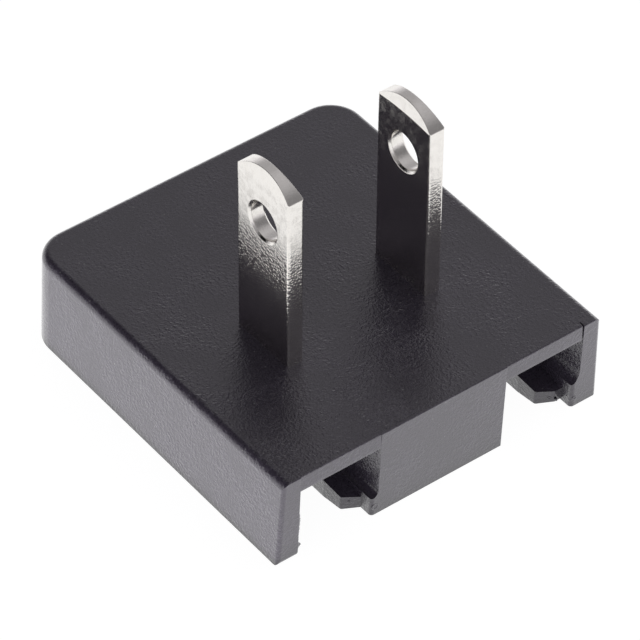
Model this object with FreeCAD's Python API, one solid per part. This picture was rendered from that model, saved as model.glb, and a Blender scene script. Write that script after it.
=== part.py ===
import FreeCAD, Part
import math
import os

from FreeCAD import Vector

# Interchangeable plug clip: a moulded tray with two flat plug blades through its top plate.
# The clip slides onto a power supply, whose rails enter the two channels from the open face.
# Millimetres, +Z up along the blades, the open face towards -Y, X along the open face.
# The origin is the centre of the box around the body, at the height of the rim.

# Tray: a plate with a skirt on three sides. The skirt leans out towards the rim.
TOP_WIDTH = 29.2
TOP_LENGTH = 31.8
BODY_HEIGHT = 8.35
SKIRT_DRAFT = 0.32
FRONT_DRAFT = 0.4
BACK_CORNER_RADIUS = 2.8
TOP_EDGE_RADIUS = 0.65
FRONT_EDGE_RADIUS = 0.12
FRONT_CORNER_RADIUS = 0.3
RIM_END_RADIUS = 0.45
RIM_END_FADE = 5.0
PLATE_THICKNESS = 1.45
SIDE_WALL = 1.55
BACK_WALL = 1.6

# Centre block, cored out from below so that no wall of the moulding is thick.
BLOCK_WIDTH = 11.55
BLOCK_FRONT_WALL = 1.6
CORE_SIDE_WALL = 1.9
CORE_RIB = 1.5
CORE_ROWS = 3

# Channels: a wide groove with round lower corners, open below through a narrower mouth between
# lips. The right channel has no lip on the block, so the clip goes on one way round only.
LIP_HEIGHT = 1.7
LEFT_WALL_LIP = 0.9
LEFT_BLOCK_LIP = 2.1
RIGHT_WALL_LIP = 2.67
LEFT_GROOVE_RADIUS = 0.7
RIGHT_GROOVE_RADIUS = 1.9

# Front end of each lip: set back behind the open face, with a slanted nose that finds the rail.
RELIEF_DEPTH = 1.6
NOSE_RUN = 1.35
NOSE_DEPTH = 0.7
NOSE_RADIUS = 0.25
LIP_TAPER = 0.2
LIP_TAPER_LENGTH = 1.8
LEAD_IN_DROP = 0.65
LEAD_IN_LENGTH = 2.8
FOOT_WIDTH = 0.6
FOOT_RADIUS = 0.3

# Marks of the tool's two slides on the open face: a fine step, and a gap that filled badly.
STRIP_SETBACK = 0.06
SLIDE_GAP_WIDTH = 0.14
SLIDE_GAP_DEPTH = 0.5

# Blades: stamped strip with a domed tip, a hole, and a tail below the plate.
BLADE_SPACING = 12.7
BLADE_WIDTH = 6.1
BLADE_THICKNESS = 1.4
BLADE_FROM_FRONT = 12.55
BLADE_EDGE_RADIUS = 0.2
SHOULDER_HEIGHT = 15.65
SHOULDER_RADIUS = 0.27
TIP_RISE = 1.2
BEVEL_RISE = 0.2
BEVEL_INSET = 0.3
HOLE_DIAMETER = 3.18
HOLE_HEIGHT = 12.05
HOLE_CHAMFER = 0.18
LOCK_NOTCH_RADIUS = 0.45
TAIL_CLEARANCE = 0.3
TAIL_CHAMFER = 0.5
CONTACT_LEAD_IN = 0.4

# Places that follow from the sizes above.
OVERSHOOT = 1.0
FRONT_Y = -(TOP_LENGTH + SKIRT_DRAFT) / 2
BACK_Y = FRONT_Y + TOP_LENGTH
BACK_INNER_Y = BACK_Y - BACK_WALL
PLATE_UNDERSIDE = BODY_HEIGHT - PLATE_THICKNESS
WALL_INNER_X = TOP_WIDTH / 2 - SIDE_WALL
BLOCK_SIDE_X = BLOCK_WIDTH / 2
BLADE_Y = FRONT_Y + BLADE_FROM_FRONT
SHOULDER_Z = BODY_HEIGHT + SHOULDER_HEIGHT
TIP_Z = SHOULDER_Z + TIP_RISE
HOLE_Z = BODY_HEIGHT + HOLE_HEIGHT
RELIEF_Y = FRONT_Y + RELIEF_DEPTH
TAIL_Z = LIP_HEIGHT + max(LEFT_GROOVE_RADIUS, RIGHT_GROOVE_RADIUS) + TAIL_CLEARANCE

LEFT = -1
RIGHT = 1
X_AXIS = Vector(1, 0, 0)
Y_AXIS = Vector(0, 1, 0)
Z_AXIS = Vector(0, 0, 1)


def channel_sides(side):
    """Return the X of a channel's left and right side faces."""
    if side == LEFT:
        return -WALL_INNER_X, -BLOCK_SIDE_X
    return BLOCK_SIDE_X, WALL_INNER_X


def mouth_sides(side):
    """Return the X of the two edges of a channel's mouth."""
    left, right = channel_sides(side)
    if side == LEFT:
        return left + LEFT_WALL_LIP, right - LEFT_BLOCK_LIP
    return left, right - RIGHT_WALL_LIP


def groove_radius(side):
    """Return the radius of a channel's lower corners."""
    return LEFT_GROOVE_RADIUS if side == LEFT else RIGHT_GROOVE_RADIUS


def foot_x(side):
    """Return the X of the face where the front relief of a channel's lip ends."""
    return channel_sides(side)[1] - FOOT_WIDTH


def box_between(low, high):
    """Return the box between two opposite corners."""
    size = [b - a for a, b in zip(low, high)]
    return Part.makeBox(size[0], size[1], size[2], Vector(*low))


def polygon_face(points):
    """Return the flat face inside a closed polygon."""
    corners = [Vector(*point) for point in points]
    return Part.Face(Part.makePolygon(corners + corners[:1]))


def edge_waste(corner, first, second, radius, sweep):
    """Return what rounding one straight edge takes off.

    The edge starts at the corner and runs along the sweep. The two faces beside it leave the
    corner along the unit vectors first and second.
    """
    inset = radius * (1 - math.sqrt(0.5))
    start = corner + first * radius
    end = corner + second * radius
    points = [
        end,
        end - first * OVERSHOOT,
        corner - (first + second) * OVERSHOOT,
        start - second * OVERSHOOT,
        start,
    ]
    lines = [Part.LineSegment(a, b).toShape() for a, b in zip(points, points[1:])]
    arc = Part.Arc(start, corner + (first + second) * inset, end).toShape()
    return Part.Face(Part.Wire([arc] + lines)).extrude(sweep)


def is_skirt_top_edge(edge):
    """Tell whether an edge of the tray lies on top of the skirt, not on the open face."""
    on_top = all(abs(vertex.Z - BODY_HEIGHT) < 1e-6 for vertex in edge.Vertexes)
    on_front = all(abs(vertex.Y - FRONT_Y) < 1e-6 for vertex in edge.Vertexes)
    return on_top and not on_front


def corner_waste(side):
    """Return what the round of one back corner takes off, a cone because the skirt leans."""
    centre_x = side * (TOP_WIDTH / 2 - BACK_CORNER_RADIUS)
    centre_y = BACK_Y - BACK_CORNER_RADIUS
    reach = BACK_CORNER_RADIUS + SKIRT_DRAFT
    outer_x = centre_x + side * (reach + OVERSHOOT)
    low = (min(centre_x, outer_x), centre_y, 0)
    high = (max(centre_x, outer_x), centre_y + reach + OVERSHOOT, BODY_HEIGHT)
    cone = Part.makeCone(reach, BACK_CORNER_RADIUS, BODY_HEIGHT, Vector(centre_x, centre_y, 0))
    return box_between(low, high).cut(cone)


def front_corner_waste(side):
    """Return what the round of one upright edge of the open face takes off, along its lean."""
    corner = Vector(side * (TOP_WIDTH / 2 + SKIRT_DRAFT), FRONT_Y + FRONT_DRAFT, 0)
    lean = Vector(-side * SKIRT_DRAFT, -FRONT_DRAFT, BODY_HEIGHT)
    return edge_waste(corner, Vector(-side, 0, 0), Y_AXIS, FRONT_CORNER_RADIUS, lean)


def front_edge_waste(low_x, high_x, face_y):
    """Return what the round of the open face's top edge takes off between two X."""
    corner = Vector(low_x, face_y, BODY_HEIGHT)
    return edge_waste(corner, -Z_AXIS, Y_AXIS, FRONT_EDGE_RADIUS, X_AXIS * (high_x - low_x))


def rim_end_wastes():
    """Return what the rounded ends of the rim take off at the open face.

    The left wall is rounded under its front edge and inside. The right wall is rounded outside,
    by a cut that slants away from the wall and so runs out behind the open face.
    """
    outer_x = TOP_WIDTH / 2 + SKIRT_DRAFT
    front_y = FRONT_Y + FRONT_DRAFT
    under = edge_waste(Vector(-outer_x, front_y, 0), Z_AXIS, Y_AXIS, RIM_END_RADIUS,
                       X_AXIS * (outer_x - WALL_INNER_X))
    inside = edge_waste(Vector(-WALL_INNER_X, FRONT_Y, 0), -X_AXIS, Z_AXIS, RIM_END_RADIUS,
                        Y_AXIS * RELIEF_DEPTH)
    outside = edge_waste(Vector(outer_x, FRONT_Y, 0), -X_AXIS, Z_AXIS, RIM_END_RADIUS,
                         Vector(RIM_END_RADIUS, RIM_END_FADE, -RIM_END_RADIUS))
    return [under, inside, outside]


def make_tray():
    """Return the solid outer form, with its outer edges rounded."""
    half = TOP_WIDTH / 2
    across = polygon_face([
        (-half - SKIRT_DRAFT, FRONT_Y, 0),
        (half + SKIRT_DRAFT, FRONT_Y, 0),
        (half, FRONT_Y, BODY_HEIGHT),
        (-half, FRONT_Y, BODY_HEIGHT),
    ])
    along = polygon_face([
        (-half - SKIRT_DRAFT, FRONT_Y + FRONT_DRAFT, 0),
        (-half - SKIRT_DRAFT, BACK_Y + SKIRT_DRAFT, 0),
        (-half - SKIRT_DRAFT, BACK_Y, BODY_HEIGHT),
        (-half - SKIRT_DRAFT, FRONT_Y, BODY_HEIGHT),
    ])
    solid = across.extrude(Vector(0, TOP_LENGTH + SKIRT_DRAFT, 0))
    solid = solid.common(along.extrude(Vector(TOP_WIDTH + 2 * SKIRT_DRAFT, 0, 0)))
    solid = solid.cut([corner_waste(LEFT), corner_waste(RIGHT)])
    edges = [edge for edge in solid.Edges if is_skirt_top_edge(edge)]
    solid = solid.makeFillet(TOP_EDGE_RADIUS, edges)
    wastes = [front_corner_waste(LEFT), front_corner_waste(RIGHT), front_edge_waste(-half, half, FRONT_Y)]
    return solid.cut(wastes + rim_end_wastes())


def make_groove(side):
    """Return the space above the lips of one channel, as the tool's slide fills it."""
    left, right = channel_sides(side)
    radius = groove_radius(side)
    low, mid, high = LIP_HEIGHT, LIP_HEIGHT + radius, PLATE_UNDERSIDE
    inset = radius * (1 - math.sqrt(0.5))
    start_y = FRONT_Y - OVERSHOOT

    def at(x, z):
        return Vector(x, start_y, z)

    edges = [
        Part.LineSegment(at(left, high), at(left, mid)),
        Part.Arc(at(left, mid), at(left + inset, low + inset), at(left + radius, low)),
        Part.LineSegment(at(left + radius, low), at(right - radius, low)),
        Part.Arc(at(right - radius, low), at(right - inset, low + inset), at(right, mid)),
        Part.LineSegment(at(right, mid), at(right, high)),
        Part.LineSegment(at(right, high), at(left, high)),
    ]
    face = Part.Face(Part.Wire([edge.toShape() for edge in edges]))
    return face.extrude(Vector(0, BACK_INNER_Y - start_y, 0))


def make_mouth(side):
    """Return the way out below one channel, which widens where the lip tapers to its nose."""
    mouth_left, mouth_right = mouth_sides(side)
    start_y = FRONT_Y - OVERSHOOT
    nose_y = RELIEF_Y + NOSE_DEPTH
    tip_x = mouth_right + LIP_TAPER
    nose_x = min(tip_x + NOSE_RUN, foot_x(side))
    plan = [
        (mouth_left, start_y),
        (mouth_left, BACK_INNER_Y),
        (mouth_right, BACK_INNER_Y),
        (mouth_right, nose_y + LIP_TAPER_LENGTH),
        (tip_x, nose_y),
        (nose_x, RELIEF_Y),
        (nose_x, start_y),
    ]
    face = polygon_face([(x, y, -OVERSHOOT) for x, y in plan])
    mouth = face.extrude(Z_AXIS * (LIP_HEIGHT + groove_radius(side) + OVERSHOOT))
    tip = Vector(tip_x, nose_y, 0)
    edges = [edge for edge in mouth.Edges if is_upright_through(edge, tip)]
    return mouth.makeFillet(NOSE_RADIUS, edges)


def is_upright_through(edge, point):
    """Tell whether an edge stands upright through a point's X and Y."""
    return all(math.hypot(vertex.X - point.x, vertex.Y - point.y) < 1e-6 for vertex in edge.Vertexes)


def make_relief(side):
    """Return the space in front of one channel's lip, up to its rounded foot."""
    left = channel_sides(side)[0]
    top = LIP_HEIGHT + groove_radius(side)
    low = (left, FRONT_Y - OVERSHOOT, -OVERSHOOT)
    relief = box_between(low, (foot_x(side), RELIEF_Y, top))
    corner = Vector(foot_x(side), FRONT_Y + FRONT_DRAFT, 0)
    lean = Vector(0, -FRONT_DRAFT, BODY_HEIGHT) * (top / BODY_HEIGHT)
    return relief.fuse(edge_waste(corner, X_AXIS, Y_AXIS, FOOT_RADIUS, lean))


def make_lead_in(side):
    """Return the slanted cut that lowers a lip towards its nose."""
    start_x = sum(mouth_sides(side)) / 2
    end_y = RELIEF_Y + LEAD_IN_LENGTH
    top = LIP_HEIGHT + groove_radius(side)
    face = polygon_face([
        (start_x, RELIEF_Y, LIP_HEIGHT - LEAD_IN_DROP),
        (start_x, end_y, LIP_HEIGHT),
        (start_x, end_y, top),
        (start_x, RELIEF_Y, top),
    ])
    return face.extrude(X_AXIS * (foot_x(side) - start_x))


def make_cores():
    """Return the pockets that core out the centre block from below."""
    columns = 2
    width = (BLOCK_WIDTH - 2 * CORE_SIDE_WALL - CORE_RIB) / columns
    first_y = FRONT_Y + BLOCK_FRONT_WALL
    length = (BACK_INNER_Y - first_y - (CORE_ROWS - 1) * CORE_RIB) / CORE_ROWS
    pockets = []
    for column in range(columns):
        x = -BLOCK_SIDE_X + CORE_SIDE_WALL + column * (width + CORE_RIB)
        for row in range(CORE_ROWS):
            y = first_y + row * (length + CORE_RIB)
            low = (x, y, -OVERSHOOT)
            pockets.append(box_between(low, (x + width, y + length, PLATE_UNDERSIDE)))
    return pockets


def make_strip_setback(side):
    """Return the thin step that the tool's slide leaves over one channel on the open face."""
    left, right = channel_sides(side)
    face_y = FRONT_Y + STRIP_SETBACK
    low = (left, FRONT_Y - OVERSHOOT, PLATE_UNDERSIDE - OVERSHOOT)
    step = box_between(low, (right, face_y, BODY_HEIGHT + OVERSHOOT))
    return step.fuse(front_edge_waste(left, right, face_y))


def make_slide_gap():
    """Return the fine gap that the tool's slide leaves between the plate and the right wall."""
    right = channel_sides(RIGHT)[1]
    low = (right - SLIDE_GAP_WIDTH, FRONT_Y - OVERSHOOT, PLATE_UNDERSIDE - OVERSHOOT)
    return box_between(low, (right, FRONT_Y + SLIDE_GAP_DEPTH, BODY_HEIGHT + OVERSHOOT))


def blade_plan(x):
    """Return the strip's cross section with its four long edges rounded, at the tail's end."""
    half_x, half_y = BLADE_THICKNESS / 2, BLADE_WIDTH / 2
    blank = box_between((x - half_x, BLADE_Y - half_y, TAIL_Z), (x + half_x, BLADE_Y + half_y, TIP_Z))
    long_edges = [edge for edge in blank.Edges if edge.Length > BLADE_WIDTH + BLADE_THICKNESS]
    return blank.makeFillet(BLADE_EDGE_RADIUS, long_edges)


def blade_outline(x):
    """Return a slab with the blade's side view: chamfered tail, straight sides, domed tip."""
    half = BLADE_WIDTH / 2
    start_x = x - BLADE_THICKNESS
    left_y, right_y = BLADE_Y - half, BLADE_Y + half

    def at(y, z):
        return Vector(start_x, y, z)

    chamfer = TAIL_CHAMFER
    polygon = Part.makePolygon([
        at(left_y, SHOULDER_Z),
        at(left_y, TAIL_Z + chamfer),
        at(left_y + chamfer, TAIL_Z),
        at(right_y - chamfer, TAIL_Z),
        at(right_y, TAIL_Z + chamfer),
        at(right_y, SHOULDER_Z),
    ])
    dome = Part.Arc(at(right_y, SHOULDER_Z), at(BLADE_Y, TIP_Z), at(left_y, SHOULDER_Z))
    face = Part.Face(Part.Wire(polygon.Edges + [dome.toShape()]))
    slab = face.extrude(X_AXIS * 2 * BLADE_THICKNESS)
    shoulders = [edge for edge in slab.Edges if is_shoulder_edge(edge)]
    return slab.makeFillet(SHOULDER_RADIUS, shoulders)


def is_shoulder_edge(edge):
    """Tell whether an edge of the blade's slab runs across one of its two shoulders."""
    high = all(abs(vertex.Z - SHOULDER_Z) < 1e-6 for vertex in edge.Vertexes)
    return high and abs(edge.Vertexes[0].Y - edge.Vertexes[-1].Y) < 1e-6


def tip_bevels(x):
    """Return what the lead-in bevels take off both wide faces of a blade's tip."""
    half_x, half_y = BLADE_THICKNESS / 2, BLADE_WIDTH / 2
    low_radius = (half_y ** 2 + BEVEL_RISE ** 2) / (2 * BEVEL_RISE)
    centre = Vector(x, BLADE_Y, SHOULDER_Z + BEVEL_RISE - low_radius)
    slope = (TIP_RISE - BEVEL_RISE) / BEVEL_INSET
    crown_radius = low_radius + slope * half_x
    lens = Part.makeCone(low_radius, crown_radius, half_x, centre - Vector(half_x, 0, 0), Vector(1, 0, 0))
    lens = lens.fuse(Part.makeCone(crown_radius, low_radius, half_x, centre, Vector(1, 0, 0)))
    low = (x - half_x, BLADE_Y - BLADE_WIDTH, HOLE_Z + HOLE_DIAMETER / 2)
    block = box_between(low, (x + half_x, BLADE_Y + BLADE_WIDTH, TIP_Z + OVERSHOOT))
    return block.cut(lens)


def blade_hole(x):
    """Return the drill for the blade's hole, with a chamfer at each wide face."""
    half = BLADE_THICKNESS / 2
    radius = HOLE_DIAMETER / 2
    wide = radius + HOLE_CHAMFER
    profile = polygon_face([
        (x - half, BLADE_Y, HOLE_Z),
        (x - half, BLADE_Y, HOLE_Z + wide),
        (x - half + HOLE_CHAMFER, BLADE_Y, HOLE_Z + radius),
        (x + half - HOLE_CHAMFER, BLADE_Y, HOLE_Z + radius),
        (x + half, BLADE_Y, HOLE_Z + wide),
        (x + half, BLADE_Y, HOLE_Z),
    ])
    return profile.revolve(Vector(x, BLADE_Y, HOLE_Z), Vector(1, 0, 0), 360)


def lock_notches(x):
    """Return the half-round notches that key the blade's two edges into the plate."""
    z = BODY_HEIGHT - PLATE_THICKNESS / 2
    start_x = x - BLADE_THICKNESS
    notches = []
    for y in (BLADE_Y - BLADE_WIDTH / 2, BLADE_Y + BLADE_WIDTH / 2):
        notches.append(Part.makeCylinder(
            LOCK_NOTCH_RADIUS, 2 * BLADE_THICKNESS, Vector(start_x, y, z), Vector(1, 0, 0)))
    return notches


def contact_lead_in(side, x):
    """Return the wedge off the tail's front edge, on the face that the contact wipes."""
    outer_x = x + side * BLADE_THICKNESS / 2
    front_y = BLADE_Y - BLADE_WIDTH / 2
    face = polygon_face([
        (outer_x, front_y, TAIL_Z),
        (outer_x, front_y + CONTACT_LEAD_IN, TAIL_Z),
        (outer_x - side * CONTACT_LEAD_IN, front_y, TAIL_Z),
    ])
    return face.extrude(Vector(0, 0, PLATE_UNDERSIDE - TAIL_Z))


def make_blade(side):
    """Return one blade with its tail."""
    x = side * BLADE_SPACING / 2
    blade = blade_plan(x).common(blade_outline(x))
    cuts = [tip_bevels(x), blade_hole(x), contact_lead_in(side, x)] + lock_notches(x)
    return blade.cut(cuts)


def make_body(blades):
    """Return the moulding, with the blades' own forms moulded into it."""
    tools = make_cores() + [make_slide_gap()]
    for side in (LEFT, RIGHT):
        tools.append(make_groove(side))
        tools.append(make_mouth(side))
        tools.append(make_relief(side))
        tools.append(make_lead_in(side))
        tools.append(make_strip_setback(side))
    return make_tray().cut(tools).cut(blades)


def single_solid(shape):
    """Return the shape's only solid, cleaned of split faces."""
    solids = shape.removeSplitter().Solids
    if len(solids) != 1:
        raise ValueError("expected one solid, found %d" % len(solids))
    return solids[0]


def main():
    """Build every piece and write one STEP file for each."""
    os.makedirs("parts", exist_ok=True)
    left_blade = single_solid(make_blade(LEFT))
    right_blade = single_solid(make_blade(RIGHT))
    pieces = {
        "clip_body": single_solid(make_body([left_blade, right_blade])),
        "left_blade": left_blade,
        "right_blade": right_blade,
    }
    for name, shape in pieces.items():
        shape.exportStep("parts/%s.step" % name)
        box = shape.BoundBox
        print("%s valid %s volume %.1f x %.2f..%.2f y %.2f..%.2f z %.2f..%.2f" % (
            name, shape.isValid(), shape.Volume, box.XMin, box.XMax, box.YMin, box.YMax, box.ZMin, box.ZMax))


main()
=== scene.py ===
"""Looks of the interchangeable plug clip: a black moulded tray with two nickel-plated blades.

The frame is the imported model's: +Z up along the blades, the open face towards -Y, and the rim on
the floor at Z = 0. Everything is in metres, apart from the small marks on the moulding, whose
classes give their sizes in millimetres.
"""
import logging
import math
import random
from dataclasses import dataclass, field
from enum import Enum
from typing import ClassVar

import bmesh
import bpy
from mathutils import Matrix, Vector


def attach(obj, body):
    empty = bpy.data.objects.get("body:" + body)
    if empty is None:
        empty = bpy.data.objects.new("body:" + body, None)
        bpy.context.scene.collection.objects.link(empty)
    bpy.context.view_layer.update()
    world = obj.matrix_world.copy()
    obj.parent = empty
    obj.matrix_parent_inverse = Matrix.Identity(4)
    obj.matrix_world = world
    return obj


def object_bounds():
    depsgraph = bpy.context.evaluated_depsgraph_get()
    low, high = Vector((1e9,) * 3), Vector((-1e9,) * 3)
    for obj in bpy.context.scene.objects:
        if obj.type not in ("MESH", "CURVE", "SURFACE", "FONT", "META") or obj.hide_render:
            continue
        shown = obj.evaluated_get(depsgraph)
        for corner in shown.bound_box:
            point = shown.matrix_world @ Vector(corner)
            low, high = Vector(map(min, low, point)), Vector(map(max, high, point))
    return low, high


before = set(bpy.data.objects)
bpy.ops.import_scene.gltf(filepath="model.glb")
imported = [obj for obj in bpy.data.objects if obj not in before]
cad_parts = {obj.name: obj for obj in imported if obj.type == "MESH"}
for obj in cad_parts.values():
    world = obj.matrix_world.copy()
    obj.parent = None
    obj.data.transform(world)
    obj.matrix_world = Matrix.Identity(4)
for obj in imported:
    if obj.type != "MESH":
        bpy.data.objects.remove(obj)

CAD_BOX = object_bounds()

MM = 0.001
PHOTO_WIDTH = 640
BODY = "root"

# The open face leans forward by FACE_LEAN_MM from the rim up to the plate's top.
PLATE_TOP_MM = 8.35
FACE_LEAN_MM = 0.4

Colour = tuple[float, float, float]
Band = tuple[float, float]
Socket = bpy.types.NodeSocket
Number = float | Socket
Paint = Colour | Socket

RISING: Band = (0.0, 1.0)
FALLING: Band = (1.0, 0.0)
WHITE: Colour = (1.0, 1.0, 1.0)

log = logging.getLogger("plug_clip")


class CadNode(Enum):
    """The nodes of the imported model."""

    CLIP_BODY = "clip_body"
    LEFT_BLADE = "left_blade"
    RIGHT_BLADE = "right_blade"


class ShaderTree:
    """A shader's node tree that is being filled.

    Attributes:
        EDGE_SAMPLES: Number of samples that round an edge's shading.
        PEBBLE_BLEND: How far neighbouring pebbles run into each other.
        PEBBLE_REACH: Distance from a pebble's top to its foot, as a share of the pebbles' size.
        tree: The node tree.
    """

    EDGE_SAMPLES: ClassVar[int] = 6
    PEBBLE_BLEND: ClassVar[float] = 0.3
    PEBBLE_REACH: ClassVar[float] = 0.75

    def __init__(self, tree: bpy.types.NodeTree) -> None:
        """Empty the tree.

        Args:
            tree: The node tree of a material or a world.
        """
        self.tree = tree
        tree.nodes.clear()

    def add(
        self,
        kind: str,
        inputs: dict[int | str, Number | Paint | Vector] | None = None,
        **settings: object,
    ) -> bpy.types.Node:
        """Add one node.

        Args:
            kind: The node's type.
            inputs: Each input socket's name or number, with its value or the socket that feeds it.
            **settings: Properties of the node itself.

        Returns:
            The new node.
        """
        node = self.tree.nodes.new(kind)
        for name, value in settings.items():
            setattr(node, name, value)
        for key, value in (inputs or {}).items():
            self.feed(node.inputs[key], value)
        return node

    def feed(self, socket: Socket, value: Number | Paint | Vector) -> None:
        """Set an input to a value, or link it to the output that feeds it.

        Args:
            socket: The input socket.
            value: A number, a colour, a direction or an output socket.
        """
        if isinstance(value, Socket):
            self.tree.links.new(value, socket)
        elif socket.type == "RGBA":
            socket.default_value = (*value, 1.0)
        else:
            socket.default_value = value

    def maths(self, operation: str, first: Number, second: Number) -> Socket:
        """Work out a number from two others.

        Args:
            operation: The name of what is worked out, such as MULTIPLY.
            first: A number or a socket.
            second: A number or a socket.

        Returns:
            The result's socket.
        """
        inputs = {0: first, 1: second}
        return self.add("ShaderNodeMath", inputs, operation=operation).outputs[0]

    def spread(self, value: Socket, source: Band, result: Band) -> Socket:
        """Map a number from one range to another and hold it inside the second.

        Args:
            value: The number's socket.
            source: The two values that give the ends of the result.
            result: The result at each of them.

        Returns:
            The result's socket.
        """
        inputs = {
            "Value": value,
            "From Min": source[0],
            "From Max": source[1],
            "To Min": result[0],
            "To Max": result[1],
        }
        return self.add("ShaderNodeMapRange", inputs).outputs["Result"]

    def noise(
        self, place: Socket, size: float, detail: float = 2.0, roughness: float = 0.5
    ) -> Socket:
        """Add a cloudy noise.

        Args:
            place: The socket that gives the place.
            size: The size of the noise's features.
            detail: The number of finer layers.
            roughness: The weight of the finer layers.

        Returns:
            The socket of a value about 0.5.
        """
        inputs = {"Vector": place, "Scale": 1.0 / size, "Detail": detail, "Roughness": roughness}
        return self.add("ShaderNodeTexNoise", inputs).outputs["Fac"]

    def pebbles(self, place: Socket, size: float) -> Socket:
        """Add round bumps that lie close together.

        Args:
            place: The socket that gives the place.
            size: The distance between bumps.

        Returns:
            The socket of a height from 0 between the bumps to 1 on their tops.
        """
        inputs = {
            "Vector": place,
            "Scale": 1.0 / size,
            "Randomness": 1.0,
            "Smoothness": self.PEBBLE_BLEND,
        }
        cells = self.add("ShaderNodeTexVoronoi", inputs, feature="SMOOTH_F1")
        return self.spread(cells.outputs["Distance"], (0.0, self.PEBBLE_REACH), FALLING)

    def specks(self, place: Socket, gap: float, size: float) -> Socket:
        """Add small round specks, scattered at random.

        Args:
            place: The socket that gives the place.
            gap: The mean distance between specks.
            size: A speck's radius as a share of the gap.

        Returns:
            The socket of a weight, 1 in a speck.
        """
        inputs = {"Vector": place, "Scale": 1.0 / gap, "Randomness": 1.0}
        distance = self.add("ShaderNodeTexVoronoi", inputs).outputs["Distance"]
        return self.spread(distance, (size / 2, size), FALLING)

    def bump(self, height: Socket, distance: float, normal: Socket) -> Socket:
        """Tilt a normal by a height.

        Args:
            height: The height's socket.
            distance: What a height of 1 stands for.
            normal: The normal that is tilted.

        Returns:
            The tilted normal's socket.
        """
        inputs = {"Strength": 1.0, "Distance": distance, "Height": height, "Normal": normal}
        return self.add("ShaderNodeBump", inputs).outputs["Normal"]

    def rounded_normal(self, radius: float) -> Socket:
        """Round the edges of a surface in its shading.

        Args:
            radius: The edges' radius.

        Returns:
            The rounded normal's socket.
        """
        bevel = self.add("ShaderNodeBevel", {"Radius": radius}, samples=self.EDGE_SAMPLES)
        return bevel.outputs["Normal"]

    def blend(self, weight: Socket, first: Paint, second: Paint) -> Socket:
        """Mix two colours.

        Args:
            weight: The share of the second colour.
            first: A colour or a socket.
            second: A colour or a socket.

        Returns:
            The mixed colour's socket.
        """
        inputs = {"Factor": weight, "A": first, "B": second}
        return self.add("ShaderNodeMix", inputs, data_type="RGBA").outputs["Result"]

    def mix(self, weight: Socket, first: Socket, second: Socket) -> Socket:
        """Mix two shaders.

        Args:
            weight: The share of the second shader.
            first: A shader's socket.
            second: A shader's socket.

        Returns:
            The mixed shader's socket.
        """
        inputs = {0: weight, 1: first, 2: second}
        return self.add("ShaderNodeMixShader", inputs).outputs["Shader"]


def new_material(name: str) -> tuple[bpy.types.Material, ShaderTree]:
    """Make an empty material.

    Args:
        name: The material's name.

    Returns:
        The material and its node tree.
    """
    material = bpy.data.materials.new(name)
    material.use_nodes = True
    return material, ShaderTree(material.node_tree)


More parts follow.
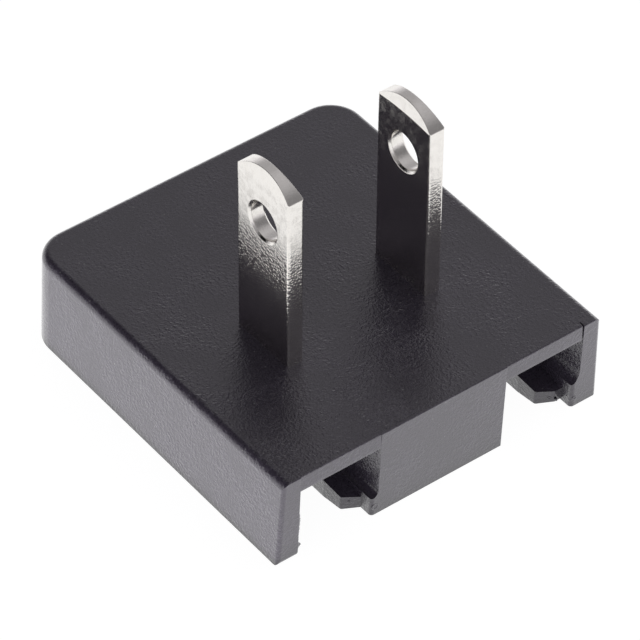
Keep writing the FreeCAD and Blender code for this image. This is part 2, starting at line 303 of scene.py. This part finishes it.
@dataclass(frozen=True)
class SparkErodedPlastic:
    """Black plastic with the fine matt grain of a spark-eroded mould, whose colour carries painted
    shade in the grain's hollows and painted highlights on its tops.

    Attributes:
        name: The material's name.
        dark: Colour in the grain's hollows, which is painted shade.
        light: Colour on the grain's tops, which is a painted highlight.
        speck: Colour of the pale specks.
        roughness: Roughness of the plastic itself.
        uneven: How far the roughness goes down and up with the finer grain.
        skin_roughness: Roughness of the glossier skin that the hot mould leaves.
        ior: Index of refraction of the plastic and of its skin.
        grain: Distance between the grain's bumps.
        grain_height: Height of the bumps.
        bump_band: Values of the noise at a bump's foot and on its top.
        fine_share: Height of the finer grain, as a share of the bumps'.
        fine_band: Values of the finer grain where the roughness is lowest and highest.
        patchiness: Size of the areas where the bumps are lower or higher.
        patch_band: Values of the cloud in an area of low bumps and in one of high bumps.
        patch_heights: Shares of the bumps' height in these two areas.
        patch_painted_highlight: Share of the light colour that an area of high bumps adds, as a
            painted highlight.
        painted_light_band: Heights of the grain that have the first and the second share of painted
            light.
        painted_light_shares: Shares of the light colour at these heights, from painted shade in the
            hollows to a painted highlight on the tops.
        open_face_band: Y of the normal on the open face, and where other faces begin.
        open_face_grain: Share of the grain's height on the open face, which came out smoother.
        fade_band: Y where the grain starts to lose height, and where it stops.
        back_grain: Share of the grain's height that is left from there to the closed back.
        speck_gap: Mean distance between the pale specks.
        speck_size: Radius of a pale speck, as a share of the gap.
        edge_round: Radius of the edges, which are finer than the model's own rounds.
    """

    name: str = "spark_eroded_black_plastic"
    dark: Colour = (0.036, 0.0305, 0.043)
    light: Colour = (0.068, 0.0585, 0.082)
    speck: Colour = (0.17, 0.165, 0.175)
    roughness: float = 0.3
    uneven: float = 0.06
    skin_roughness: float = 0.15
    ior: float = 1.5
    grain: float = 0.27 * MM
    grain_height: float = 0.0195 * MM
    bump_band: Band = (0.4, 0.68)
    fine_share: float = 0.9
    fine_band: Band = (0.3, 0.7)
    patchiness: float = 3.0 * MM
    patch_band: Band = (0.35, 0.65)
    patch_heights: Band = (0.3, 1.2)
    patch_painted_highlight: float = 0.1
    painted_light_band: Band = (0.1, 1.0)
    painted_light_shares: Band = (0.2, 0.9)
    open_face_band: Band = (-0.98, -0.9)
    open_face_grain: float = 0.4
    fade_band: Band = (1.0 * MM, 11.0 * MM)
    back_grain: float = 0.6
    speck_gap: float = 0.9 * MM
    speck_size: float = 0.09
    edge_round: float = 0.02 * MM

    def material(self) -> bpy.types.Material:
        """Build the material.

        Returns:
            The new material.
        """
        material, tree = new_material(self.name)
        place = tree.add("ShaderNodeTexCoord").outputs["Object"]
        peaks = tree.spread(tree.noise(place, self.grain, detail=1.0), self.bump_band, RISING)
        fine = tree.noise(place, self.grain / 2, detail=2.0, roughness=0.6)
        cloud = tree.noise(place, self.patchiness, detail=3.0)
        share = tree.spread(cloud, self.patch_band, self.patch_heights)
        coarse = tree.maths("MULTIPLY", peaks, share)
        height = tree.maths("ADD", coarse, tree.maths("MULTIPLY", fine, self.fine_share))
        relief = self.relief(tree, place, height)
        bump = tree.bump(relief, self.grain_height, tree.rounded_normal(self.edge_round))
        # Painted light: the colour runs from painted shade in the grain's hollows to painted
        # highlights on its tops, with more painted highlight where the bumps are high.
        patch_painted_highlight = tree.spread(cloud, self.patch_band, (0.0, self.patch_painted_highlight))
        painted_light_share = tree.maths("ADD", tree.spread(height, self.painted_light_band, self.painted_light_shares), patch_painted_highlight)
        grain_with_painted_light = tree.blend(painted_light_share, self.dark, self.light)
        speck = tree.specks(place, self.speck_gap, self.speck_size)
        unevenness = tree.spread(fine, self.fine_band, (-self.uneven, self.uneven))
        inputs = {
            "Base Color": tree.blend(speck, grain_with_painted_light, self.speck),
            "Roughness": tree.maths("ADD", unevenness, self.roughness),
            "IOR": self.ior,
            "Normal": bump,
            "Coat Weight": 1.0,
            "Coat Roughness": self.skin_roughness,
            "Coat IOR": self.ior,
            "Coat Normal": bump,
        }
        shader = tree.add("ShaderNodeBsdfPrincipled", inputs)
        tree.add("ShaderNodeOutputMaterial", {"Surface": shader.outputs["BSDF"]})
        return material

    def relief(self, tree: ShaderTree, place: Socket, height: Socket) -> Socket:
        """Lower the grain on the open face and towards the closed back.

        Args:
            tree: The material's node tree.
            place: The socket that gives the place.
            height: The grain's height.

        Returns:
            The lowered height's socket.
        """
        normal = tree.add("ShaderNodeNewGeometry").outputs["True Normal"]
        facing = tree.add("ShaderNodeSeparateXYZ", {0: normal}).outputs["Y"]
        along = tree.add("ShaderNodeSeparateXYZ", {0: place}).outputs["Y"]
        face = tree.spread(facing, self.open_face_band, (self.open_face_grain, 1.0))
        fade = tree.spread(along, self.fade_band, (1.0, self.back_grain))
        return tree.maths("MULTIPLY", tree.maths("MULTIPLY", height, face), fade)


@dataclass(frozen=True)
class NickelPlate:
    """Bright nickel plate on a stamped brass strip.

    Attributes:
        name: The material's name.
        bright: Colour of the clean plate.
        dull: Colour of the dull plate.
        dull_band: Values of the cloud where the plate starts to be dull, and where it is dullest.
        dull_share: Share of the dull colour where it is dullest.
        metallic: How metallic the plate is.
        roughness: Roughness of the plate.
        haze: Roughness that the haze near the tips adds.
        haze_band: Values of the cloud where the haze starts, and where it is full.
        cloud: Size of the clouds of dull and hazy plate.
        pit: Size of the pebbled pits.
        pit_height: Depth of the pits.
        wear_band: Heights where sockets start to wear the plate smooth, and where it is worn.
        worn_pits: Share of the pits' depth that is left where the plate is worn.
        wave: Length of the strip's slow waves.
        wave_height: Height of the slow waves.
        edge_round: Radius of the edges that the model leaves sharp.
    """

    name: str = "nickel_plate_on_brass"
    bright: Colour = (0.86, 0.835, 0.80)
    dull: Colour = (0.78, 0.75, 0.71)
    dull_band: Band = (0.45, 0.7)
    dull_share: float = 0.5
    metallic: float = 0.993
    roughness: float = 0.16
    haze: float = 0.11
    haze_band: Band = (0.45, 0.65)
    cloud: float = 0.6 * MM
    pit: float = 0.19 * MM
    pit_height: float = 0.0145 * MM
    wear_band: Band = (17.0 * MM, 19.8 * MM)
    worn_pits: float = 0.15
    wave: float = 2.4 * MM
    wave_height: float = 0.003 * MM
    edge_round: float = 0.09 * MM

    def material(self) -> bpy.types.Material:
        """Build the material.

        Returns:
            The new material.
        """
        material, tree = new_material(self.name)
        place = tree.add("ShaderNodeTexCoord").outputs["Object"]
        up = tree.add("ShaderNodeSeparateXYZ", {0: place}).outputs["Z"]
        pitted = tree.spread(up, self.wear_band, (1.0, self.worn_pits))
        pits = tree.maths("MULTIPLY", tree.pebbles(place, self.pit), pitted)
        pitted_normal = tree.bump(pits, self.pit_height, tree.rounded_normal(self.edge_round))
        wavy_normal = tree.bump(tree.noise(place, self.wave), self.wave_height, pitted_normal)
        cloud = tree.noise(place, self.cloud, detail=4.0, roughness=0.65)
        worn = tree.spread(up, self.wear_band, RISING)
        haze = tree.maths("MULTIPLY", tree.spread(cloud, self.haze_band, (0.0, self.haze)), worn)
        dullness = tree.spread(cloud, self.dull_band, (0.0, self.dull_share))
        inputs = {
            "Base Color": tree.blend(dullness, self.bright, self.dull),
            "Metallic": self.metallic,
            "Roughness": tree.maths("ADD", haze, self.roughness),
            "Normal": wavy_normal,
        }
        shader = tree.add("ShaderNodeBsdfPrincipled", inputs)
        tree.add("ShaderNodeOutputMaterial", {"Surface": shader.outputs["BSDF"]})
        return material


@dataclass(frozen=True)
class PaleFloor:
    """Pale floor that the camera and mirrors see as white, with the object's soft shadow.

    From below it is clear, so that the underside can be looked at.

    Attributes:
        name: The material's name.
        colour: Colour that lights the object from below.
        glow: Light that the floor adds where it is seen.
        shade: Share of the lamps' light in what is seen, which holds the shadow.
    """

    name: str = "pale_floor"
    colour: Colour = (0.82, 0.82, 0.82)
    glow: float = 0.96
    shade: float = 0.2

    def material(self) -> bpy.types.Material:
        """Build the material.

        Returns:
            The new material.
        """
        material, tree = new_material(self.name)
        rays = tree.add("ShaderNodeLightPath").outputs
        seen = rays["Is Camera Ray"]
        for name in ("Is Glossy Ray", "Is Transmission Ray"):
            seen = tree.maths("MAXIMUM", seen, rays[name])
        plain = tree.add("ShaderNodeBsdfDiffuse", {"Color": self.colour}).outputs["BSDF"]
        faint = tree.add("ShaderNodeBsdfDiffuse", {"Color": (self.shade,) * 3}).outputs["BSDF"]
        glow = tree.add("ShaderNodeEmission", {"Color": WHITE, "Strength": self.glow})
        white = tree.add("ShaderNodeAddShader", {0: faint, 1: glow.outputs["Emission"]})
        above = tree.mix(seen, plain, white.outputs["Shader"])
        clear = tree.add("ShaderNodeBsdfTransparent").outputs["BSDF"]
        below = tree.add("ShaderNodeNewGeometry").outputs["Backfacing"]
        tree.add("ShaderNodeOutputMaterial", {"Surface": tree.mix(below, above, clear)})
        return material


def add_object(name: str, data: bpy.types.ID) -> bpy.types.Object:
    """Put a new object into the scene.

    Args:
        name: The object's name.
        data: Its mesh, lamp or camera.

    Returns:
        The new object.
    """
    added = bpy.data.objects.new(name, data)
    bpy.context.scene.collection.objects.link(added)
    return added


def dress(node: CadNode, material: bpy.types.Material) -> bpy.types.Object:
    """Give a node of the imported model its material.

    Args:
        node: The node.
        material: The material.

    Returns:
        The node's object.
    """
    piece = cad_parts[node.value]
    piece.data.materials.clear()
    piece.data.materials.append(material)
    return piece


def face_y(height: float) -> float:
    """Work out where the leaning open face is.

    Args:
        height: A height above the rim, in millimetres.

    Returns:
        The face's Y at that height, in millimetres.
    """
    return CAD_BOX[0][1] / MM + FACE_LEAN_MM * (1.0 - height / PLATE_TOP_MM)


def skin(mesh: bmesh.types.BMesh, rings: list[list[Vector]]) -> None:
    """Skin closed rings of points that follow each other, and cap both ends.

    Args:
        mesh: The mesh that takes the faces.
        rings: The rings, all with the same number of points.
    """
    made = [[mesh.verts.new(point) for point in ring] for ring in rings]
    for near, far in zip(made, made[1:]):
        for first in range(len(near)):
            second = (first + 1) % len(near)
            mesh.faces.new((near[first], near[second], far[second], far[first]))
    mesh.faces.new(made[0])
    mesh.faces.new(made[-1][::-1])


def closed_piece(
    name: str, mesh: bmesh.types.BMesh, material: bpy.types.Material
) -> bpy.types.Object:
    """Turn a mesh in millimetres into a piece of the plastic body.

    Args:
        name: The piece's name.
        mesh: The mesh, which is freed.
        material: The piece's material.

    Returns:
        The new piece.
    """
    bmesh.ops.recalc_face_normals(mesh, faces=mesh.faces)
    bmesh.ops.scale(mesh, vec=(MM, MM, MM), verts=mesh.verts)
    data = bpy.data.meshes.new(name)
    mesh.to_mesh(data)
    mesh.free()
    data.materials.append(material)
    piece = add_object(name, data)
    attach(piece, BODY)
    return piece


@dataclass(frozen=True)
class WallFlash:
    """The ragged flash along the inner front edge of the left wall, in millimetres.

    Attributes:
        edge_x: X of the edge.
        outline: Heights down the edge, each with how far the flash stands out there.
        steps: Number of steps down the edge.
        raggedness: How far its width strays from the outline.
        least_width: Width that it has at least.
        proud: How far it stands forward of the open face.
        depth: How far it reaches behind the open face.
        root: How far it reaches into the wall.
        seed: The seed of its raggedness.
    """

    edge_x: float = -13.05
    outline: tuple[tuple[float, float], ...] = (
        (6.8, 0.0),
        (5.4, 0.02),
        (4.5, 0.06),
        (3.75, 0.16),
        (3.2, 0.12),
        (2.2, 0.06),
        (1.5, 0.05),
        (1.1, 0.34),
        (0.85, 0.1),
        (0.55, 0.02),
    )
    steps: int = 48
    raggedness: float = 0.022
    least_width: float = 0.01
    proud: float = 0.012
    depth: float = 0.16
    root: float = 0.1
    seed: int = 5

    def width(self, height: float) -> float:
        """Work out how far the flash stands out at a height.

        Args:
            height: The height above the rim.

        Returns:
            The flash's width.
        """
        for (high, first), (low, second) in zip(self.outline, self.outline[1:]):
            if height >= low:
                return first + (second - first) * (high - height) / (high - low)
        return self.outline[-1][1]

    def ring(self, height: float, width: float) -> list[Vector]:
        """Work out the flash's cross-section at a height.

        Args:
            height: The height above the rim.
            width: How far the flash stands out there.

        Returns:
            The four points of the cross-section.
        """
        face = face_y(height)
        return [
            Vector((self.edge_x - self.root, face + self.depth / 2, height)),
            Vector((self.edge_x - self.proud, face - self.proud, height)),
            Vector((self.edge_x + width, face + self.depth / 3, height)),
            Vector((self.edge_x - self.proud, face + self.depth, height)),
        ]

    def build(self, material: bpy.types.Material) -> bpy.types.Object:
        """Build the flash.

        Args:
            material: The body's material.

        Returns:
            The new piece.
        """
        wander = random.Random(self.seed)
        top, bottom = self.outline[0][0], self.outline[-1][0]
        rings = []
        for step in range(self.steps + 1):
            height = top + (bottom - top) * step / self.steps
            width = self.width(height) + wander.uniform(-self.raggedness, self.raggedness)
            rings.append(self.ring(height, max(self.least_width, width)))
        mesh = bmesh.new()
        skin(mesh, rings)
        return closed_piece("wall_flash", mesh, material)


@dataclass(frozen=True)
class MouldMark:
    """A little round mark with a raised ring, in millimetres.

    Attributes:
        PROFILE: Shares of the radius from the rim to the dimple, each with its share of the height.
        x: X of its middle.
        y: Y of its middle, or None on the open face.
        z: Z of its middle.
        radius: Its radius.
        facing: The direction that it faces, seen from above.
    """

    PROFILE: ClassVar[tuple[tuple[float, float], ...]] = (
        (1.0, -1.0),
        (0.95, 0.4),
        (0.8, 1.0),
        (0.62, 0.8),
        (0.45, 0.1),
        (0.15, 0.0),
    )

    x: float
    y: float | None
    z: float
    radius: float
    facing: tuple[float, float] = (0.0, -1.0)

    def rings(self, height: float, sides: int) -> list[list[Vector]]:
        """Work out the rings of points from the rim to the dimple.

        Args:
            height: How far the raised ring stands out.
            sides: Number of points in each ring of points.

        Returns:
            The rings of points.
        """
        out = Vector((*self.facing, 0.0)).normalized()
        across = Vector((-out.y, out.x, 0.0))
        upright = Vector((0.0, 0.0, self.radius))
        middle = Vector((self.x, face_y(self.z) if self.y is None else self.y, self.z))
        turns = [2 * math.pi * step / sides for step in range(sides)]
        return [
            [
                middle + out * (rise * height)
                + (across * (self.radius * math.cos(turn)) + upright * math.sin(turn)) * share
                for turn in turns
            ]
            for share, rise in self.PROFILE
        ]


@dataclass(frozen=True)
class MouldMarks:
    """The round marks on the feet and noses of the lips, and a crumb beside one, in millimetres.

    Attributes:
        marks: The marks.
        height: How far their rings stand out.
        sides: Number of sides of each ring.
        crumb: Middle of the crumb.
        crumb_radius: Radius of the crumb.
        crumb_shares: The least and the most share of the radius that a point of the crumb has.
        seed: The seed of the crumb's shape.
    """

    marks: tuple[MouldMark, ...] = (
        MouldMark(x=-6.02, y=None, z=0.84, radius=0.33),
        MouldMark(x=12.76, y=None, z=0.9, radius=0.2),
        MouldMark(x=-7.133, y=-14.052, z=0.73, radius=0.12, facing=(-0.46, -0.89)),
        MouldMark(x=11.543, y=-14.26, z=0.45, radius=0.15, facing=(-0.46, -0.89)),
    )
    height: float = 0.035
    sides: int = 24
    crumb: tuple[float, float, float] = (11.97, -14.56, 0.3)
    crumb_radius: float = 0.15
    crumb_shares: Band = (0.7, 1.1)
    seed: int = 11

    def build(self, material: bpy.types.Material) -> list[bpy.types.Object]:
        """Build the marks and the crumb.

        Args:
            material: The body's material.

        Returns:
            The new pieces.
        """
        mesh = bmesh.new()
        for mark in self.marks:
            skin(mesh, mark.rings(self.height, self.sides))
        grit = bmesh.new()
        bmesh.ops.create_icosphere(grit, subdivisions=2, radius=self.crumb_radius)
        wander = random.Random(self.seed)
        for point in grit.verts:
            point.co = point.co * wander.uniform(*self.crumb_shares) + Vector(self.crumb)
        return [closed_piece("mould_marks", mesh, material), closed_piece("crumb", grit, material)]


@dataclass
class Moulding:
    """The black moulded body.

    Attributes:
        finish: The finish of the plastic.
        flash: The ragged flash on the left wall.
        marks: The small round marks and the crumb.
    """

    finish: SparkErodedPlastic = field(default_factory=SparkErodedPlastic)
    flash: WallFlash = field(default_factory=WallFlash)
    marks: MouldMarks = field(default_factory=MouldMarks)

    def build(self) -> list[bpy.types.Object]:
        """Dress the body and add its small marks.

        Returns:
            The pieces of the body.
        """
        material = self.finish.material()
        body = dress(CadNode.CLIP_BODY, material)
        return [body, self.flash.build(material), *self.marks.build(material)]


@dataclass
class BladePair:
    """The two nickel-plated blades.

    Attributes:
        finish: The finish of the plated strip.
    """

    finish: NickelPlate = field(default_factory=NickelPlate)

    def build(self) -> list[bpy.types.Object]:
        """Dress both blades.

        Returns:
            The pieces of the blades.
        """
        material = self.finish.material()
        return [dress(node, material) for node in (CadNode.LEFT_BLADE, CadNode.RIGHT_BLADE)]


def direction_to(azimuth: float, elevation: float) -> Vector:
    """Work out a direction from the object.

    Args:
        azimuth: Degrees from -Y towards -X, seen from above.
        elevation: Degrees above the horizon.

    Returns:
        The unit vector.
    """
    turn, rise = math.radians(azimuth), math.radians(elevation)
    level = math.cos(rise)
    return Vector((-math.sin(turn) * level, -math.cos(turn) * level, math.sin(rise)))


@dataclass(frozen=True)
class LightTable:
    """Four soft panels that lie on the floor round the object, shine up, and show in no mirror.

    Attributes:
        reach: Distance from the origin to the table's edges.
        margin: Gap between the panels and the object's outline.
        lift: Height of the panels above the floor.
        west: Brightness of the panel towards -X, where 1 is white.
        east: Brightness of the panel towards +X.
        south: Brightness of the panel towards -Y.
        north: Brightness of the panel towards +Y.
    """

    reach: float = 0.25
    margin: float = 0.5 * MM
    lift: float = 0.2 * MM
    west: float = 2.0
    east: float = 1.6
    south: float = 0.5
    north: float = 1.6

    def build(self) -> None:
        """Lay the four panels."""
        low, high = (Vector(corner) for corner in CAD_BOX)
        west, south = low.x - self.margin, low.y - self.margin
        east, north = high.x + self.margin, high.y + self.margin
        far = self.reach
        self.lay_panel("west_panel", (-far, -far), (west, far), self.west)
        self.lay_panel("east_panel", (east, -far), (far, far), self.east)
        self.lay_panel("south_panel", (west, -far), (east, south), self.south)
        self.lay_panel("north_panel", (west, north), (east, far), self.north)

    def lay_panel(
        self, name: str, start: tuple[float, float], end: tuple[float, float], brightness: float
    ) -> None:
        """Lay one panel.

        Args:
            name: The panel's name.
            start: Its corner with the lowest X and Y.
            end: Its corner with the highest X and Y.
            brightness: Its brightness, where 1 is white.
        """
        lamp = bpy.data.lights.new(name, "AREA")
        lamp.shape = "RECTANGLE"
        lamp.size = end[0] - start[0]
        lamp.size_y = end[1] - start[1]
        lamp.energy = brightness * math.pi * lamp.size * lamp.size_y
        panel = add_object(name, lamp)
        panel.location = ((start[0] + end[0]) / 2, (start[1] + end[1]) / 2, self.lift)
        panel.rotation_euler = (math.pi, 0.0, 0.0)
        panel.visible_camera = False
        panel.visible_glossy = False


@dataclass(frozen=True)
class SkyPatch:
    """A soft brighter or darker patch of the surroundings.

    Attributes:
        azimuth: Direction of its middle, in degrees from -Y towards -X.
        elevation: Height of its middle above the horizon, in degrees.
        reach: Cosine of the angle from its middle to its edge.
        change: Brightness that it adds at its middle.
    """

    azimuth: float
    elevation: float
    reach: float
    change: float


@dataclass
class Studio:
    """Floor, light table and surroundings.

    Attributes:
        floor_side: Side of the square floor.
        floor_drop: Gap under the rim, so that the two faces don't share one plane.
        floor_finish: The finish of the floor.
        tint: Colour of the surroundings.
        low_sky: Brightness of the surroundings at the horizon.
        high_sky: Brightness of the surroundings overhead.
        dim_height: Height, as a sine, where the overhead brightness is reached.
        patches: Brighter and darker patches of the surroundings.
        table: The lit panels round the object.
    """

    floor_side: float = 3.0
    floor_drop: float = 0.02 * MM
    floor_finish: PaleFloor = field(default_factory=PaleFloor)
    tint: Colour = (0.99, 0.97, 1.0)
    low_sky: float = 1.0
    high_sky: float = 0.335
    dim_height: float = 0.36
    patches: tuple[SkyPatch, ...] = (
        SkyPatch(azimuth=144.0, elevation=45.0, reach=0.7, change=-0.5),
        SkyPatch(azimuth=-37.0, elevation=40.0, reach=0.85, change=-0.12),
        SkyPatch(azimuth=-143.0, elevation=43.0, reach=0.8, change=0.08),
        SkyPatch(azimuth=-97.0, elevation=64.0, reach=0.85, change=0.14),
    )
    table: LightTable = field(default_factory=LightTable)

    def build(self) -> None:
        """Build the whole studio."""
        self.build_floor()
        self.build_surroundings()
        self.table.build()

    def build_floor(self) -> None:
        """Lay the floor."""
        half, low = self.floor_side / 2, -self.floor_drop
        corners = [(-half, -half, low), (half, -half, low), (half, half, low), (-half, half, low)]
        mesh = bpy.data.meshes.new("floor")
        mesh.from_pydata(corners, [], [(0, 1, 2, 3)])
        mesh.materials.append(self.floor_finish.material())
        floor = add_object("floor", mesh)

    def build_surroundings(self) -> None:
        """Light the scene from a room that is white at the horizon and dim overhead."""
        world = bpy.data.worlds.new("studio")
        world.use_nodes = True
        bpy.context.scene.world = world
        tree = ShaderTree(world.node_tree)
        direction = tree.add("ShaderNodeTexCoord").outputs["Generated"]
        height = tree.add("ShaderNodeSeparateXYZ", {0: direction}).outputs["Z"]
        level = tree.spread(height, (0.0, self.dim_height), (self.low_sky, self.high_sky))
        for patch in self.patches:
            inputs = {0: direction, 1: direction_to(patch.azimuth, patch.elevation)}
            dot = tree.add("ShaderNodeVectorMath", inputs, operation="DOT_PRODUCT")
            change = tree.spread(dot.outputs["Value"], (patch.reach, 1.0), (0.0, patch.change))
            level = tree.maths("ADD", level, change)
        level = tree.maths("MAXIMUM", level, 0.0)
        sky = tree.add("ShaderNodeBackground", {"Color": self.tint, "Strength": level})
        tree.add("ShaderNodeOutputWorld", {"Surface": sky.outputs["Background"]})


@dataclass
class PhotoCamera:
    """The camera at the photograph's viewpoint.

    Attributes:
        azimuth: Direction of the camera, in degrees from -Y towards +X.
        elevation: Height of the camera above the object, in degrees.
        roll: Turn about the line of sight, in degrees.
        distance: Distance from the aim point along the line of sight.
        aim: Point that the camera is set out from.
        aside: Step of the camera to its right and upwards.
        focal_pixels: Focal length in pixels of the photograph.
        nearest: Distance of the nearest thing that the camera sees.
    """

    azimuth: float = -37.718
    elevation: float = 43.292
    roll: float = 0.509
    distance: float = 349.70 * MM
    aim: Vector = field(default_factory=lambda: Vector((0.0, -0.16 * MM, 4.0 * MM)))
    aside: tuple[float, float] = (0.631 * MM, 0.259 * MM)
    focal_pixels: float = 4682.2
    nearest: float = 10.0 * MM

    def build(self) -> None:
        """Set up the camera."""
        turn, roll = math.radians(self.azimuth), math.radians(self.roll)
        back = direction_to(-self.azimuth, self.elevation)
        level = Vector((math.cos(turn), math.sin(turn), 0.0))
        upright = back.cross(level)
        right = math.cos(roll) * level + math.sin(roll) * upright
        up = math.cos(roll) * upright - math.sin(roll) * level
        lens = bpy.data.cameras.new("photo_camera")
        lens.sensor_fit = "HORIZONTAL"
        lens.lens = self.focal_pixels * lens.sensor_width / PHOTO_WIDTH
        lens.clip_start = self.nearest
        camera = add_object("photo_camera", lens)
        place = self.aim + self.aside[0] * right + self.aside[1] * up + self.distance * back
        turned = Matrix((right, up, back)).transposed().to_4x4()
        camera.matrix_world = Matrix.Translation(place) @ turned
        bpy.context.scene.camera = camera


def main() -> None:
    """Build the object, the studio and the camera."""
    logging.basicConfig(level=logging.INFO, format="%(name)s: %(message)s")
    bpy.context.scene.view_settings.view_transform = "Standard"
    PhotoCamera().build()
    Studio().build()
    for assembly in (Moulding(), BladePair()):
        for piece in assembly.build():
            log.info("%s: %s", type(assembly).__name__, piece.name)


if __name__ == "__main__":
    main()
